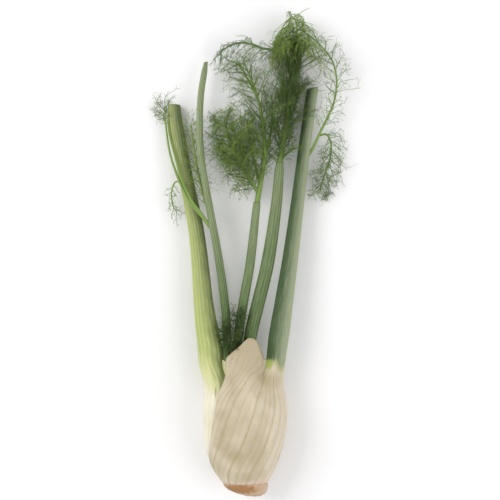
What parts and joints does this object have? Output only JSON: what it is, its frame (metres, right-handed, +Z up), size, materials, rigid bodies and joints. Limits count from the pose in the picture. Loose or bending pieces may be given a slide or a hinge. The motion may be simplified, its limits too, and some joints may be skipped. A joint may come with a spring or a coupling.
{
  "type": "fennel bulb",
  "caption": "Florence fennel lying on its side: ribbed leaf bases wrapped into a flat bulb, trimmed root, leaf stalks and feathery green fronds.",
  "frame": {"origin": "on the surface that the bulb lies on, at the middle of the small flat under the bulb's belly", "axes": "+Y from the root cut towards the tips of the fronds, +Z up through the bulb's flatter side, +X to the right when it is seen from above with the fronds away from the viewer"},
  "size_m": [0.2101, 0.4841, 0.0617],
  "materials": {
    "root_cut": "rough, browned cut plant tissue",
    "leaf_base": "satin, moist pale plant skin with green veins",
    "leaf_stalk": "satin green plant skin, finely ribbed",
    "frond": "soft satin green threads"
  },
  "bodies": {
    "root": {"root_plate": "root_cut", "leaf_outer_right": "leaf_base", "leaf_outer_left": "leaf_base", "leaf_inner_right": "leaf_stalk", "leaf_inner_left": "leaf_stalk", "leaf_heart": "leaf_stalk", "frond_inner_right": "frond", "frond_heart": "frond", "frond_outer_right": "frond", "frond_outer_left": "frond", "frond_inner_left": "frond", "frond_young": "frond"}
  },
  "joints": []
}
